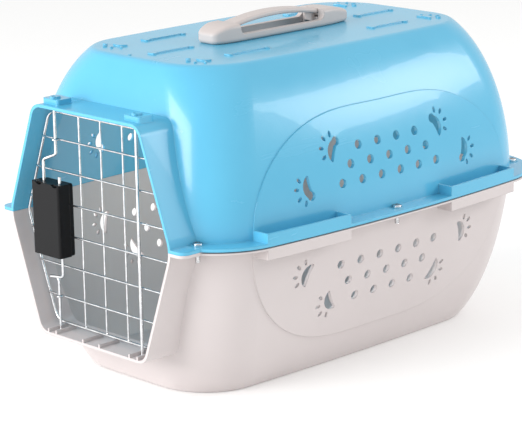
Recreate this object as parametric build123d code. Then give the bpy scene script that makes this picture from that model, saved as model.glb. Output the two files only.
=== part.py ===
from build123d import *
import math
import os

# Pet transport carrier. Origin on the ground under the middle, +X to the right of
# someone facing the door, +Y from the door to the back, +Z up. Millimetres.

# Overall sizes
LENGTH = 480.0              # collar lip to the rear edge of the joint flange
WIDTH = 334.0               # across the joint flange at mid-length
ROOF_HEIGHT = 303.0         # ground to the flat roof
SEAM_HEIGHT = 152.0         # ground to the joint between the two shells
LIP_PROJECTION = 8.0        # collar lip in front of the flange's front edge
WALL = 2.0                  # thickness of both moulded shells
COLLAR_WALL = 3.0           # the collar is thicker

# Joint flange
FLANGE_REACH = 17.0         # flange edge beyond the shell wall
FLANGE_THICKNESS = 3.0
FLANGE_CORNER = 74.0        # corner radius of the flange in plan
SEAM_BOW = 14.0             # how far the long sides bulge at mid-length, at the seam
FLAT_BOW = 5.0              # the same at the roof and at the floor
END_BOW = 2.0
EAR_REACH = 17.3            # flat ears of the flange at each side of the collar
EAR_DEPTH = 34.0
EAR_CORNER = 9.0
SEAM_GAP = 1.2              # shadow gap between the two flange edges
SEAM_GAP_DEPTH = 5.0
TROUGH_LENGTH = 100.0       # raised stiffening wall along the flange edge
TROUGH_SPACING = 238.0      # between the middles of the two troughs of a side
TROUGH_HEIGHT = 9.0
TROUGH_SHIFT = -3.5         # the two troughs' middle ahead of the body's middle
TROUGH_WALL = 2.5

# Shape of the two shells away from the seam
ROOF_INSET = 54.0           # how far the sides lean in by the roof
ROOF_CORNER = 58.0
ROOF_DRAFT = 2.0            # the straight part of that lean
ROOF_EDGE_RADIUS = 9.0
FLOOR_INSET = 50.0
FLOOR_CORNER = 60.0
FLOOR_DRAFT = 14.0
FLOOR_EDGE_RADIUS = 5.0
ROOF_END_LEAN = 0.65        # lean of the ends as a share of the lean of the sides
FLOOR_END_LEAN = 0.48
CURVE_SHARE = 0.93          # share of a quarter ellipse that a wall follows
SECTION_STEPS = (0.0, 0.2, 0.4, 0.6, 0.78, 0.91, 1.0)

# Door collar: a six-sided tunnel, widest at the seam
MOUTH_HALF_WIDTH = 109.7
MOUTH_TOP_HALF_WIDTH = 70.7
MOUTH_SILL_HALF_WIDTH = 71.3
MOUTH_TOP = 257.8
MOUTH_SILL = 43.7
MOUTH_CORNER = 12.0
MOUTH_SIDE_CORNER = 30.0
COLLAR_REACH_IN = 90.0      # how far back the collar is built before it is trimmed

# Lugs over the collar and sockets under its sill
LUG_WIDTH = 22.0
LUG_HEIGHT = 5.0
LUG_DEPTH = 18.0
LUG_SETBACK = 6.0           # front of a lug behind the lip
LUG_TAB = (9.0, 9.0, 2.0)   # raised tab round each rod hole
LUG_ROUNDING = 3.0
SILL_RIB_HEIGHT = 3.4
SILL_RIB_WIDTH = 2.0
SILL_RIB_LENGTH = 24.0
SILL_RIB_PAIR = 11.0        # between the two ribs that flank a rod's foot
SILL_MIDDLE_RIBS = (-13.0, 10.0)

# Wire door
ROD_X = 57.0                # hinge rod, and the lower latch rod on the other side
UPPER_ROD_X = -54.5         # upper latch rod
LATCH_LEG_Y = 10.6          # outer legs of the latch rods behind the collar lip
HINGE_ROD_RADIUS = 1.6
LATCH_ROD_RADIUS = 1.4
FRAME_WIRE_RADIUS = 1.3
GRID_WIRE_RADIUS = 0.9
FRAME_Y = 15.5              # middle of the frame wire behind the lip
WELD_SINK = 0.25            # how far one wire sinks into another at a weld
DOOR_TOP_GAP = 5.5          # middle of the frame wire to the mouth
DOOR_BOTTOM_GAP = 7.3
DOOR_TOP_CORNER_GAP = 2.7
DOOR_BOTTOM_CORNER_GAP = 4.3
DOOR_SIDE_GAP = 5.7
DOOR_CORNER = 14.0
CROSSBAR_LOWEST = 77.3
CROSSBAR_PITCH = 30.0
CROSSBARS = 6
UPRIGHT_FIRST_X = -26.2
UPRIGHT_PITCH = 29.9
UPRIGHTS = 3
CROSSBAR_OVERHANG = 0.0

# Latch
LATCH_X = -60.0
LATCH_WIDTH = 39.0
LATCH_HEIGHT = 69.0
LATCH_BOTTOM = 118.0
LATCH_WALL = 2.0
UPPER_LEG_X = -68.5         # inner leg of the upper rod
LOWER_LEG_X = -46.0         # inner leg of the lower rod
LATCH_ROD_Y = 6.8           # inner legs behind the lip
BACKPLATE_THICKNESS = 4.0
UPPER_BEND_HEIGHT = 213.5
UPPER_BEND_DROP = 6.0       # the upper rod's step slopes down towards its inner leg
LOWER_BEND_HEIGHT = 98.5
LOOP_X = -64.5              # far end of the finger loop on the lower rod
LOOP_DROP = 2.0             # the loop's fall along each of its runs
LOOP_FORWARD = 1.0          # the loop's front run ahead of the inner leg
ROD_BEND_RADIUS = 3.6
LOOP_BEND_RADIUS = 2.0
UPPER_TIP = 1.0             # upper rod's end below the housing
LOWER_TIP = 7.0             # lower rod's end above the housing
STOP_RADIUS = 3.2
STOP_THICKNESS = 2.4
SPRING_WIRE_RADIUS = 0.4
SPRING_RADIUS = 2.6
SPRING_LENGTH = 30.0
SPRING_TURNS = 11
PLATE_SCREW_RADIUS = 1.2
PLATE_SCREW_HEAD_RADIUS = 2.3
PLATE_HEAD_HEIGHT = 1.2
PLATE_SCREW_DEPTH = 9.0     # into the housing's posts
PILOT_EXTRA = 0.5           # pilot holes are deeper than their screws
PLATE_SCREW_SPREAD = 25.0   # each screw from the middle of the housing
POST_RADIUS = 3.0
LATCH_CORNER = 2.5
SCALLOP_RADIUS = 6.0
SCALLOP_RISE = 3.6          # centre of each scallop above the housing
SCALLOP_DEPTH = 2.5
SEAT_GAP = 0.1              # spring end to what it bears on

# Handle
HANDLE_LENGTH = 183.0
HANDLE_SHIFT = -2.5         # its middle ahead of the body's middle
HANDLE_WIDTH = 35.0
HANDLE_END_WIDTH = 23.0     # the pads narrow towards their ends
HANDLE_CORNER = 8.0
PAD_END_HEIGHT = 10.0
PAD_HEIGHT = 17.0
PAD_CREST_INSET = 8.0       # flat top of each pad beside the window
PAD_ROUNDING = 4.0
RAIL_HEIGHT = 7.0
RAIL_WIDTH = 5.5
RAIL_RAMP = 6.0             # radius where a rail runs up to a pad
GRIP_WINDOW = 112.0         # length of the opening between the two pads
GRIP_SHIFT = -5.5           # its middle ahead of the handle's middle
GRIP_RISE = 22.5            # crest of the grip above the roof
GRIP_WIDTH = 18.0
GRIP_THICKNESS = 5.0
GRIP_END_THICKNESS = 4.5
GRIP_END_DROP = 0.5         # grip's ends below the pads' tops
GRIP_ROUNDING = 2.0
CAVITY_DEPTH = 10.0         # hollows in the pads that hold the grip's feet
CAVITY_WIDTH = 18.0
CAVITY_HEIGHT = 13.0
LEG_WIDTH = 9.0
LEG_THICKNESS = 4.0
FOOT_HEIGHT = 5.0           # underside of the feet above the roof
FOOT_THICKNESS = 3.5
FOOT_REACH = 7.0

# Fasteners
SCREW_RADIUS = 2.0
SCREW_HEAD_RADIUS = 4.4
SCREW_HEAD_HEIGHT = 2.6
SCREW_HEAD_DOME = 1.55      # height of its rounded edge
NUT_ACROSS_FLATS = 7.0
NUT_HEIGHT = 3.2
SCREW_LENGTH = 16.0
BOSS_RADIUS = 5.8
BOSS_HEIGHT = 0.5
END_SCREW_REACH = 6.3       # end screws outside the mouth's widest corners
END_SCREW_INSET = 19.5      # from the flange's end edge to the end screws
SIDE_SCREW_INSET = 11.5     # from the flange's side edge to the middle screws
HANDLE_SCREW_INSET = 10.0   # from each end of the handle
HANDLE_SCREW_DEPTH = 7.0

# Vents and relief
DOT_RADIUS = 4.2
DOT_PITCH = 25.7
UPPER_DOT_ROWS = ((188.0, 6), (204.0, 5), (219.5, 4))
LOWER_DOT_ROWS = ((111.0, 6), (93.0, 5), (75.0, 4))
PAW_PAD_LENGTH = 23.0       # crescent pad, tip to tip
PAW_PAD_OUTER = 10.5        # rise of its outer arc over the line between its tips
PAW_PAD_INNER = 1.5         # rise of its inner arc
PAW_TIP_RADIUS = 1.3
PAW_HEEL_RADIUS = 4.2       # blunt end of an upper paw's pad
PAW_HEEL_INSET = 3.6        # its middle from the tip
PAW_TOE_REACH = 12.7
PAW_TOE_ANGLES = (-62.0, -22.0, 22.0, 62.0)
PAW_TOE_SIZE = (1.6, 2.9)
# distance from mid-length, height, direction the toes point in, and which end is blunt
UPPER_PAWS = ((72.0, 221.0, 30.0, 1), (108.0, 190.0, -16.0, -1))
LOWER_PAWS = ((108.0, 110.0, 20.0, 0), (73.0, 75.0, -31.0, 0))
RELIEF = 1.1
PANEL_HALF_LENGTH = 172.0
PANEL_TOP = 254.0
PANEL_FLOOR = 37.0
# half of the panel's arch, as shares of its half-length and of its rise from the seam
PANEL_ARCH = ((1.0, 0.0), (0.98, 0.3), (0.84, 0.66), (0.65, 0.87), (0.42, 0.98))
ROOF_RELIEF = 1.4
ROOF_BAR_LENGTH = 52.0
ROOF_BAR_WIDTH = 4.5
ROOF_KNOB_RADIUS = 2.8
ROOF_BAR_X = 57.0
ROOF_BAR_Y = 95.0
ROOF_END_BAR_Y = 137.0
ROOF_PAW_Y = 152.0
ROOF_PAW_SCALE = 0.8
GATE_DOT = (-12.0, -173.0)  # mark of the mould's gate on the roof
GATE_DOT_RADIUS = 1.6

# Clearances
RUNNING = 0.08              # radial, hinge rod in its lug and socket
SLIDING = 0.25              # radial, latch rods in their guides and holes
ROD_END_GAP = 1.0           # rod ends short of the outer face of a lug or the sill
FREE = 0.35                 # between pieces that move past each other
SCREW_HOLE = 0.3            # radial, screw in a plain hole
THREAD_GAP = 0.05           # radial, screw thread in its nut

# Places that follow from the sizes
FRONT = -LENGTH / 2
BODY_Y = LIP_PROJECTION / 2
FLANGE_HALF_WIDTH = WIDTH / 2
FLANGE_HALF_LENGTH = (LENGTH - LIP_PROJECTION) / 2
SEAM_HALF_WIDTH = FLANGE_HALF_WIDTH - FLANGE_REACH
SEAM_HALF_LENGTH = FLANGE_HALF_LENGTH - FLANGE_REACH
SEAM_CORNER = FLANGE_CORNER - FLANGE_REACH
DOOR_TOP = MOUTH_TOP - DOOR_TOP_GAP
DOOR_BOTTOM = MOUTH_SILL + DOOR_BOTTOM_GAP
DOOR_TOP_HALF_WIDTH = MOUTH_TOP_HALF_WIDTH - DOOR_TOP_CORNER_GAP
DOOR_BOTTOM_HALF_WIDTH = MOUTH_SILL_HALF_WIDTH - DOOR_BOTTOM_CORNER_GAP
DOOR_HALF_WIDTH = MOUTH_HALF_WIDTH - DOOR_SIDE_GAP
DOOR_WIDEST_HEIGHT = SEAM_HEIGHT
FRAME_PLACE_Y = FRONT + FRAME_Y
CROSSBAR_Y = FRAME_PLACE_Y - FRAME_WIRE_RADIUS - GRID_WIRE_RADIUS + WELD_SINK
HINGE_Y = CROSSBAR_Y - GRID_WIRE_RADIUS - HINGE_ROD_RADIUS + WELD_SINK
LATCH_LEG_PLACE_Y = FRONT + LATCH_LEG_Y
LATCH_TOP = LATCH_BOTTOM + LATCH_HEIGHT
LATCH_PLACE_Y = FRONT + LATCH_ROD_Y
HANDLE_Y = BODY_Y + HANDLE_SHIFT
WINDOW_FRONT = GRIP_SHIFT - GRIP_WINDOW / 2     # from the handle's middle
WINDOW_REAR = GRIP_SHIFT + GRIP_WINDOW / 2
LUG_TOP = MOUTH_TOP + COLLAR_WALL + LUG_HEIGHT


def plan_face(half_width, half_length, corner, bow, height):
    """A rounded rectangle with bulging sides, flat at a height."""
    x, y = half_width - bow, half_length - END_BOW
    corners = [(-x, -y), (x, -y), (x, y), (-x, y)]
    middles = [(0, -half_length), (half_width, 0), (0, half_length), (-half_width, 0)]
    sides = [
        ThreePointArc(corners[i], middles[i], corners[(i + 1) % 4]) for i in range(4)
    ]
    face = make_face(sides)
    face = fillet(face.vertices(), corner)
    return Pos(0, BODY_Y, height) * face


def lean(share, total, draft):
    """How far a wall has leaned in at a share of its height: a line plus an ellipse."""
    ellipse = 1 - math.sqrt(1 - (CURVE_SHARE * share) ** 2)
    full = 1 - math.sqrt(1 - CURVE_SHARE**2)
    return draft * share + (total - draft) * ellipse / full


def bowl(end_height, total, draft, end_lean, end_corner, inset=0.0):
    """A solid from the seam to a flat end, with its walls moved in by inset."""
    sections = []
    for share in SECTION_STEPS:
        moved = lean(share, total, draft)
        corner = SEAM_CORNER + (end_corner - SEAM_CORNER) * moved / total
        bow = SEAM_BOW + (FLAT_BOW - SEAM_BOW) * moved / total
        sections.append(
            plan_face(
                SEAM_HALF_WIDTH - moved - inset,
                SEAM_HALF_LENGTH - moved * end_lean - inset,
                corner - inset,
                bow,
                SEAM_HEIGHT + (end_height - SEAM_HEIGHT) * share,
            )
        )
    return loft(sections)


def dome(inset=0.0):
    """The upper shell's outside, or its inside when inset is the wall."""
    top = ROOF_HEIGHT - inset
    return bowl(top, ROOF_INSET, ROOF_DRAFT, ROOF_END_LEAN, ROOF_CORNER, inset)


def tub(inset=0.0):
    """The lower shell's outside, or its inside when inset is the wall."""
    return bowl(inset, FLOOR_INSET, FLOOR_DRAFT, FLOOR_END_LEAN, FLOOR_CORNER, inset)


def round_end(solid, height, radius):
    """Rounds the edge of a bowl's flat end."""
    face = solid.faces().sort_by(lambda f: abs(f.center().Z - height))[0]
    return fillet(face.edges(), radius)


def mouth(grow, length, start=0.0):
    """The six-sided tunnel along Y, its walls moved out by grow."""
    points = [
        (-MOUTH_SILL_HALF_WIDTH, MOUTH_SILL),
        (MOUTH_SILL_HALF_WIDTH, MOUTH_SILL),
        (MOUTH_HALF_WIDTH, SEAM_HEIGHT),
        (MOUTH_TOP_HALF_WIDTH, MOUTH_TOP),
        (-MOUTH_TOP_HALF_WIDTH, MOUTH_TOP),
        (-MOUTH_HALF_WIDTH, SEAM_HEIGHT),
    ]
    face = make_face(Polyline(*points, close=True))
    widest = [v for v in face.vertices() if abs(v.Y - SEAM_HEIGHT) < 1]
    face = fillet(widest, MOUTH_SIDE_CORNER)
    rest = [v for v in face.vertices() if min(abs(v.Y - MOUTH_SILL), abs(v.Y - MOUTH_TOP)) < 1]
    face = fillet(rest, MOUTH_CORNER)
    if grow:
        face = offset(face, grow)
    placed = Plane.XZ.offset(-FRONT - start) * face
    return extrude(placed, -length)


def half_space(above):
    """Everything above or below the seam, large enough for the whole object."""
    size = 2 * LENGTH
    shift = size / 2 if above else -size / 2
    return Pos(0, 0, SEAM_HEIGHT + shift) * Box(size, size, size)


def flange_slab(thickness, inset=0.0):
    """The flange's plan as a slab up (or down, if negative) from the seam."""
    face = plan_face(
        FLANGE_HALF_WIDTH - inset,
        FLANGE_HALF_LENGTH - inset,
        FLANGE_CORNER - inset,
        SEAM_BOW,
        SEAM_HEIGHT,
    )
    return extrude(face, thickness, dir=(0, 0, 1))


def ears(thickness):
    """The flange's flat ears, level with the collar's lip."""
    width = 2 * (MOUTH_HALF_WIDTH + EAR_REACH)
    plate = Pos(0, FRONT + EAR_DEPTH / 2, SEAM_HEIGHT) * Rectangle(width, EAR_DEPTH)
    plate = fillet(plate.vertices().group_by(Axis.Y)[0], EAR_CORNER)
    return extrude(plate, thickness, dir=(0, 0, 1))


def troughs(direction):
    """Open troughs along the flange's sides, up or down from the flange."""
    reach = (FLANGE_THICKNESS + TROUGH_HEIGHT) * direction
    outer = flange_slab(reach)
    inner = flange_slab(reach, TROUGH_WALL)
    middle = SEAM_HEIGHT + reach / 2
    walls = []
    for side in (-1, 1):
        for y in (-TROUGH_SPACING / 2, TROUGH_SPACING / 2):
            place = Pos(side * WIDTH / 2, BODY_Y + TROUGH_SHIFT + y, middle)
            block = place * Box(WIDTH / 2, TROUGH_LENGTH, abs(reach))
            hollow = place * Box(WIDTH / 2, TROUGH_LENGTH - 2 * TROUGH_WALL, 2 * abs(reach))
            walls.append((outer & block) - (inner & hollow))
    return walls


def screw_places():
    """The six flange screws: two at each end and one at the middle of each side."""
    end = FLANGE_HALF_LENGTH - END_SCREW_INSET
    side = FLANGE_HALF_WIDTH - SIDE_SCREW_INSET
    across = MOUTH_HALF_WIDTH + END_SCREW_REACH
    places = [(x, BODY_Y + y) for y in (-end, end) for x in (-across, across)]
    return places + [(-side, BODY_Y), (side, BODY_Y)]


def handle_screw_places():
    reach = HANDLE_LENGTH / 2 - HANDLE_SCREW_INSET
    return [(0, HANDLE_Y - reach), (0, HANDLE_Y + reach)]


def rod(x, y, low, high, radius):
    """An upright round rod."""
    return Pos(x, y, (low + high) / 2) * Cylinder(radius, high - low)


def dot_cutters(rows):
    cutters = []
    for height, count in rows:
        for i in range(count):
            y = BODY_Y + (i - (count - 1) / 2) * DOT_PITCH
            cutters.append(Pos(0, y, height) * Rot(0, 90, 0) * Cylinder(DOT_RADIUS, 2 * WIDTH))
    return cutters


def paw_faces(heel=0):
    """A plain paw print: a crescent pad, blunt at its heel end, and four toes towards +X."""
    tip = -(PAW_PAD_OUTER + PAW_PAD_INNER) / 2
    ends = [(tip, -PAW_PAD_LENGTH / 2), (tip, PAW_PAD_LENGTH / 2)]
    outer = ThreePointArc(ends[0], (tip + PAW_PAD_OUTER, 0), ends[1])
    inner = ThreePointArc(ends[0], (tip + PAW_PAD_INNER, 0), ends[1])
    pad = make_face([outer, inner])
    faces = [fillet(pad.vertices(), PAW_TIP_RADIUS)]
    if heel:
        along = heel * (PAW_PAD_LENGTH / 2 - PAW_HEEL_INSET)
        faces.append(Pos(tip + PAW_HEEL_INSET, along, 0) * Circle(PAW_HEEL_RADIUS))
    for angle in PAW_TOE_ANGLES:
        toe = Ellipse(PAW_TOE_SIZE[1], PAW_TOE_SIZE[0])
        faces.append(Rot(0, 0, angle) * Pos(PAW_TOE_REACH, 0, 0) * toe)
    return faces


def paw_cutters(paws):
    """Paw prints through both side walls, mirrored about mid-length."""
    cutters = []
    for along, height, angle, heel in paws:
        for end in (-1, 1):
            plane = Plane(
                origin=(-WIDTH, BODY_Y + end * along, height), x_dir=(0, end, 0), z_dir=(end, 0, 0)
            )
            for face in paw_faces(heel):
                turned = plane * Rot(0, 0, angle) * face
                cutters.append(extrude(turned, 2 * WIDTH, dir=(1, 0, 0)))
    return cutters


def side_panel(solid, foot, top):
    """The part of a solid inside the arch-shaped panel of both sides, from foot to top."""
    rise = top - foot
    points = [(along * PANEL_HALF_LENGTH, foot + share * rise) for along, share in PANEL_ARCH]
    left = [(0, top)] + [(-x, z) for x, z in reversed(points)]
    base = Line(left[-1], points[0])
    arch = Spline(*points, *left)
    plane = Plane(origin=(-WIDTH, BODY_Y, 0), x_dir=(0, 1, 0), z_dir=(1, 0, 0))
    return solid & extrude(plane * make_face([base, arch]), 2 * WIDTH, dir=(1, 0, 0))


def roof_relief():
    """Raised bars and paw prints on the roof."""
    raised = []
    bars = [(0, -ROOF_END_BAR_Y), (0, ROOF_END_BAR_Y)]
    bars += [(x, y) for x in (-ROOF_BAR_X, ROOF_BAR_X) for y in (-ROOF_BAR_Y, ROOF_BAR_Y)]
    for x, y in bars:
        bar = Rot(0, 0, 90) * SlotOverall(ROOF_BAR_LENGTH, ROOF_BAR_WIDTH)
        knob = ROOF_BAR_LENGTH / 2 - ROOF_KNOB_RADIUS
        for along in (-knob, knob):
            for side in (-1, 1):
                bar = bar + Pos(side * ROOF_BAR_WIDTH / 2, along) * Circle(ROOF_KNOB_RADIUS)
        raised.append(Pos(x, BODY_Y + y, ROOF_HEIGHT) * extrude(bar, ROOF_RELIEF))
    for x in (-ROOF_BAR_X, ROOF_BAR_X):
        for side in (-1, 1):
            place = Pos(x, BODY_Y + side * ROOF_PAW_Y, ROOF_HEIGHT) * Rot(0, 0, 90 * side)
            for face in paw_faces():
                raised.append(extrude(place * scale(face, ROOF_PAW_SCALE), ROOF_RELIEF, dir=(0, 0, 1)))
    dot_x, dot_y = GATE_DOT
    raised.append(rod(dot_x, dot_y, ROOF_HEIGHT, ROOF_HEIGHT + ROOF_RELIEF / 2, GATE_DOT_RADIUS))
    return raised


def rod_holes():
    """Holes for the hinge rod and the latch rods in the lugs and the sill."""
    low, high = MOUTH_SILL - 2 * COLLAR_WALL, LUG_TOP + LUG_HEIGHT
    latch_hole = LATCH_ROD_RADIUS + SLIDING
    hinge = rod(ROD_X, HINGE_Y, low, high, HINGE_ROD_RADIUS + RUNNING)
    upper = rod(UPPER_ROD_X, LATCH_LEG_PLACE_Y, SEAM_HEIGHT, high, latch_hole)
    lower = rod(-ROD_X, LATCH_LEG_PLACE_Y, low, SEAM_HEIGHT, latch_hole)
    return [hinge, upper, lower]


def screw_holes(places, height):
    depth = 2 * (FLANGE_THICKNESS + BOSS_HEIGHT + WALL)
    return [Pos(x, y, height) * Cylinder(SCREW_RADIUS + SCREW_HOLE, depth) for x, y in places]


def sill_ribs():
    """Low ribs on the sill: a pair round each rod's foot and two in the middle."""
    places = [x + side * SILL_RIB_PAIR / 2 for x in (-ROD_X, ROD_X) for side in (-1, 1)]
    sunk = COLLAR_WALL / 2
    ribs = []
    for x in [*places, *SILL_MIDDLE_RIBS]:
        height = SILL_RIB_HEIGHT + sunk
        place = Pos(x, FRONT + SILL_RIB_LENGTH / 2, MOUTH_SILL - sunk + height / 2)
        ribs.append(place * Box(SILL_RIB_WIDTH, SILL_RIB_LENGTH, height))
    return ribs


def make_lug(x, y):
    """A block on the collar with a raised tab round its rod hole."""
    height = LUG_HEIGHT + COLLAR_WALL
    width, depth, tab_height = LUG_TAB
    middle_y = FRONT + LUG_SETBACK + LUG_DEPTH / 2
    block = Pos(x, middle_y, LUG_TOP - height / 2) * Box(LUG_WIDTH, LUG_DEPTH, height)
    block = fillet(block.edges().filter_by(Axis.Z), LUG_ROUNDING)
    tab = Pos(x, y + depth / 4, LUG_TOP) * Box(width, depth / 2, 2 * tab_height)
    return block + tab + rod(x, y, LUG_TOP - 1, LUG_TOP + tab_height, width / 2 - 1)


def make_upper_shell():
    outside = round_end(dome(), ROOF_HEIGHT, ROOF_EDGE_RADIUS)
    inside = round_end(dome(WALL), ROOF_HEIGHT - WALL, ROOF_EDGE_RADIUS - WALL)
    panel = side_panel(dome(-RELIEF), SEAM_HEIGHT, PANEL_TOP)
    collar = mouth(COLLAR_WALL, COLLAR_REACH_IN) & half_space(True)
    shell = outside + panel + collar + flange_slab(FLANGE_THICKNESS)
    for wall in troughs(1):
        shell = shell + wall
    for x, y in ((UPPER_ROD_X, LATCH_LEG_PLACE_Y), (ROD_X, HINGE_Y)):
        shell = shell + make_lug(x, y)
    for x, y in screw_places():
        shell = shell + Pos(x, y, SEAM_HEIGHT + (FLANGE_THICKNESS + BOSS_HEIGHT) / 2) * Cylinder(
            BOSS_RADIUS, FLANGE_THICKNESS + BOSS_HEIGHT
        )
    for raised in roof_relief():
        shell = shell + raised
    shell = shell - inside - mouth(0, COLLAR_REACH_IN, -1)
    shell = shell - dot_cutters(UPPER_DOT_ROWS) - paw_cutters(UPPER_PAWS) - rod_holes()
    shell = shell + ears(FLANGE_THICKNESS) - mouth(0, COLLAR_REACH_IN, -1)
    holes = screw_holes(screw_places(), SEAM_HEIGHT) + screw_holes(handle_screw_places(), ROOF_HEIGHT)
    return shell - holes


def make_lower_shell():
    outside = round_end(tub(), 0, FLOOR_EDGE_RADIUS)
    inside = round_end(tub(WALL), WALL, FLOOR_EDGE_RADIUS - WALL)
    panel = side_panel(tub(-RELIEF), SEAM_HEIGHT, PANEL_FLOOR)
    collar = mouth(COLLAR_WALL, COLLAR_REACH_IN) & half_space(False)
    shell = outside + panel + collar + flange_slab(-FLANGE_THICKNESS)
    for wall in troughs(-1):
        shell = shell + wall
    shell = shell - inside - mouth(0, COLLAR_REACH_IN, -1)
    gap = flange_slab(-SEAM_GAP) - flange_slab(-SEAM_GAP, SEAM_GAP_DEPTH)
    shell = shell - gap - dot_cutters(LOWER_DOT_ROWS) - paw_cutters(LOWER_PAWS)
    shell = shell + ears(-FLANGE_THICKNESS) - mouth(0, COLLAR_REACH_IN, -1)
    for rib in sill_ribs():
        shell = shell + rib
    return shell - screw_holes(screw_places(), SEAM_HEIGHT) - rod_holes()


def wire(points, radius, bend):
    """A round wire along a route whose corners are bent to a radius."""
    path = FilletPolyline(*points, radius=bend)
    start = Plane(origin=path @ 0, z_dir=path % 0)
    return sweep(start * Circle(radius), path=path)


def make_frame_wire():
    """The closed six-sided wire round the door."""
    points = [
        (DOOR_BOTTOM_HALF_WIDTH, DOOR_BOTTOM),
        (DOOR_HALF_WIDTH, DOOR_WIDEST_HEIGHT),
        (DOOR_TOP_HALF_WIDTH, DOOR_TOP),
        (-DOOR_TOP_HALF_WIDTH, DOOR_TOP),
        (-DOOR_HALF_WIDTH, DOOR_WIDEST_HEIGHT),
        (-DOOR_BOTTOM_HALF_WIDTH, DOOR_BOTTOM),
    ]
    line = Plane.XZ.offset(-FRAME_PLACE_Y) * FilletPolyline(*points, radius=DOOR_CORNER, close=True)
    start = Plane(origin=line @ 0, z_dir=line % 0)
    return sweep(start * Circle(FRAME_WIRE_RADIUS), path=line)


def door_half_width(height):
    """Half the distance between the frame wire's two sides at a height."""
    if height > DOOR_WIDEST_HEIGHT:
        end, end_half = DOOR_TOP, DOOR_TOP_HALF_WIDTH
    else:
        end, end_half = DOOR_BOTTOM, DOOR_BOTTOM_HALF_WIDTH
    share = (height - DOOR_WIDEST_HEIGHT) / (end - DOOR_WIDEST_HEIGHT)
    return DOOR_HALF_WIDTH + (end_half - DOOR_HALF_WIDTH) * share


def crossbar_height(number):
    """Crossbars count from the top."""
    return CROSSBAR_LOWEST + (CROSSBARS - number) * CROSSBAR_PITCH


def make_uprights(frame_wire):
    """Grid wires that end against the frame wire, in its plane."""
    uprights = {}
    for i in range(UPRIGHTS):
        bar = rod(
            UPRIGHT_FIRST_X + i * UPRIGHT_PITCH, FRAME_PLACE_Y, DOOR_BOTTOM, DOOR_TOP, GRID_WIRE_RADIUS
        )
        uprights[f"upright_{i + 1}"] = bar - frame_wire
    return uprights


def make_crossbars(welded_to):
    """Grid wires across the front of the frame wire, sunk a little at each weld."""
    crossbars = {}
    for number in range(1, CROSSBARS + 1):
        height = crossbar_height(number)
        half = door_half_width(height) + CROSSBAR_OVERHANG
        bar = Pos(0, CROSSBAR_Y, height) * Rot(0, 90, 0) * Cylinder(GRID_WIRE_RADIUS, 2 * half)
        for other in welded_to:
            bar = bar - other
        crossbars[f"crossbar_{number}"] = bar
    return crossbars


def make_hinge_rod():
    low = MOUTH_SILL - COLLAR_WALL + ROD_END_GAP / 2
    return rod(ROD_X, HINGE_Y, low, LUG_TOP + LUG_TAB[2] - ROD_END_GAP, HINGE_ROD_RADIUS)


def make_rod_guide(x, height, crossbar):
    """A wire loop round a latch rod, welded to a crossbar."""
    ring_radius = LATCH_ROD_RADIUS + SLIDING + GRID_WIRE_RADIUS
    return Pos(x, LATCH_LEG_PLACE_Y, height) * Torus(ring_radius, GRID_WIRE_RADIUS) - crossbar


def make_latch_rods():
    """Each rod steps sideways from the collar into the housing; the lower one has a loop."""
    y = LATCH_LEG_PLACE_Y
    upper = [
        (UPPER_ROD_X, y, LUG_TOP + LUG_TAB[2] - ROD_END_GAP),
        (UPPER_ROD_X, y, UPPER_BEND_HEIGHT),
        (UPPER_LEG_X, LATCH_PLACE_Y, UPPER_BEND_HEIGHT - UPPER_BEND_DROP),
        (UPPER_LEG_X, LATCH_PLACE_Y, LATCH_BOTTOM - UPPER_TIP),
    ]
    lower = [
        (LOWER_LEG_X, LATCH_PLACE_Y, LATCH_TOP + LOWER_TIP),
        (LOWER_LEG_X, LATCH_PLACE_Y, LOWER_BEND_HEIGHT),
        (LOOP_X, LATCH_PLACE_Y - LOOP_FORWARD, LOWER_BEND_HEIGHT - LOOP_DROP),
        (LOOP_X, y, LOWER_BEND_HEIGHT - 1.5 * LOOP_DROP),
        (-ROD_X, y, LOWER_BEND_HEIGHT - 2 * LOOP_DROP),
        (-ROD_X, y, MOUTH_SILL - COLLAR_WALL + ROD_END_GAP / 2),
    ]
    loop_bends = [ROD_BEND_RADIUS, LOOP_BEND_RADIUS, LOOP_BEND_RADIUS, ROD_BEND_RADIUS]
    return {
        "latch_rod_upper": wire(upper, LATCH_ROD_RADIUS, ROD_BEND_RADIUS),
        "latch_rod_lower": wire(lower, LATCH_ROD_RADIUS, loop_bends),
    }


def stop_heights():
    """The upper rod's spring stands on the housing's floor, the lower rod's hangs from its top."""
    return LATCH_BOTTOM + LATCH_WALL + SPRING_LENGTH, LATCH_TOP - LATCH_WALL - SPRING_LENGTH


def make_rod_stops(rods):
    upper_height, lower_height = stop_heights()
    stop = Cylinder(STOP_RADIUS, STOP_THICKNESS)
    upper = Pos(UPPER_LEG_X, LATCH_PLACE_Y, upper_height + STOP_THICKNESS / 2) * stop
    lower = Pos(LOWER_LEG_X, LATCH_PLACE_Y, lower_height - STOP_THICKNESS / 2) * stop
    return {
        "rod_stop_upper": upper - rods["latch_rod_upper"],
        "rod_stop_lower": lower - rods["latch_rod_lower"],
    }


def make_spring():
    """A coil from height 0 to SPRING_LENGTH, its wire inside that height."""
    rise = SPRING_LENGTH - 2 * SPRING_WIRE_RADIUS - 2 * SEAT_GAP
    coil = Helix(pitch=rise / SPRING_TURNS, height=rise, radius=SPRING_RADIUS)
    start = Plane(origin=coil @ 0, z_dir=coil % 0)
    solid = sweep(start * Circle(SPRING_WIRE_RADIUS), path=coil, is_frenet=True)
    return Pos(0, 0, SPRING_WIRE_RADIUS + SEAT_GAP) * solid


def make_springs():
    upper_height, lower_height = stop_heights()
    return {
        "latch_spring_upper": Pos(UPPER_LEG_X, LATCH_PLACE_Y, upper_height - SPRING_LENGTH)
        * make_spring(),
        "latch_spring_lower": Pos(LOWER_LEG_X, LATCH_PLACE_Y, lower_height) * make_spring(),
    }


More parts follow.
